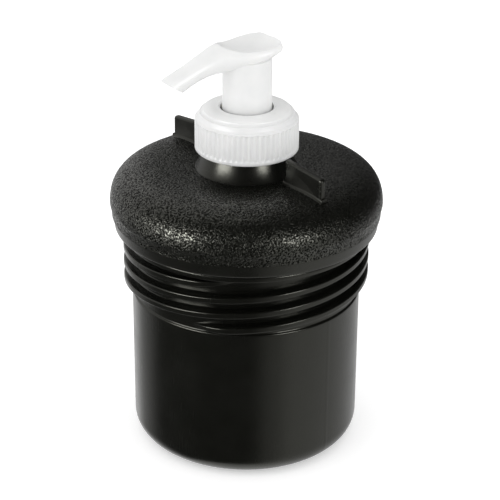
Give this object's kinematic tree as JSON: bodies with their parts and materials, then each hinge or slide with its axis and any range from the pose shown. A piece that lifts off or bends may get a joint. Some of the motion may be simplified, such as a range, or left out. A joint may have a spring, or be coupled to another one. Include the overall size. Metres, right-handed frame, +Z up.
{
  "type": "condiment pump dispenser",
  "caption": "Round condiment jar with an outside thread, a domed lid with two finger tabs, and a push-down pump with a swivelling spout.",
  "frame": {"origin": "centre of the jar's base, on the surface it stands on", "axes": "+Z up along the pump; the lid's two finger tabs and the mould parting line lie in the XZ plane"},
  "size_m": [0.1114, 0.1114, 0.173],
  "materials": {
    "jar_black": "satin gloss",
    "lid_black": "grained satin",
    "gasket_black": "matte",
    "white_plastic": "satin",
    "natural_plastic": "satin",
    "seal_foam": "matte",
    "steel": "bright"
  },
  "bodies": {
    "jar": {"jar": "jar_black"},
    "lid_seal": {"lid_gasket": "gasket_black"},
    "lid": {"lid": "lid_black"},
    "pump": {"pump_housing": "natural_plastic", "neck_gasket": "seal_foam", "guide_sleeve": "white_plastic", "ball_cage": "natural_plastic", "dip_tube": "natural_plastic", "return_spring": "steel"},
    "closure": {"closure": "white_plastic"},
    "valve_post": {"valve_post": "natural_plastic"},
    "plunger": {"stem": "natural_plastic", "actuator_head": "white_plastic"},
    "piston": {"piston": "natural_plastic"},
    "inlet_ball": {"inlet_ball": "steel"}
  },
  "joints": [
    {"name": "lid_lift", "type": "slide", "parent": "jar", "child": "lid_seal", "axis": [0, 0, 1], "range_m": [0, 0.0038]},
    {"name": "lid_turn", "type": "hinge", "parent": "lid_seal", "child": "lid", "pos_m": [0, 0, 0.095], "axis": [0, 0, 1], "range_deg": [0, 110]},
    {"name": "pump_lift", "type": "slide", "parent": "lid", "child": "pump", "axis": [0, 0, 1], "range_m": [0, 0.00423]},
    {"name": "closure_turn", "type": "hinge", "parent": "pump", "child": "closure", "pos_m": [0, 0, 0.135], "axis": [0, 0, 1], "range_deg": [0, 360]},
    {"name": "pump_stroke", "type": "slide", "parent": "pump", "child": "valve_post", "axis": [0, 0, -1], "range_m": [0, 0.014], "deforming": ["return_spring"]},
    {"name": "head_swivel", "type": "hinge", "parent": "valve_post", "child": "plunger", "pos_m": [0, 0, 0.15], "axis": [0, 0, 1], "continuous": true},
    {"name": "piston_float", "type": "slide", "parent": "valve_post", "child": "piston", "axis": [0, 0, 1], "range_m": [0, 0.0011]},
    {"name": "ball_lift", "type": "slide", "parent": "pump", "child": "inlet_ball", "axis": [0, 0, 1], "range_m": [0, 0.003]}
  ],
  "couplings": [
    {"joint": "lid_lift", "follows": "lid_turn", "m_per_rad": 0.0019099},
    {"joint": "closure_turn", "follows": "pump_lift", "rad_per_m": 1484.3}
  ]
}
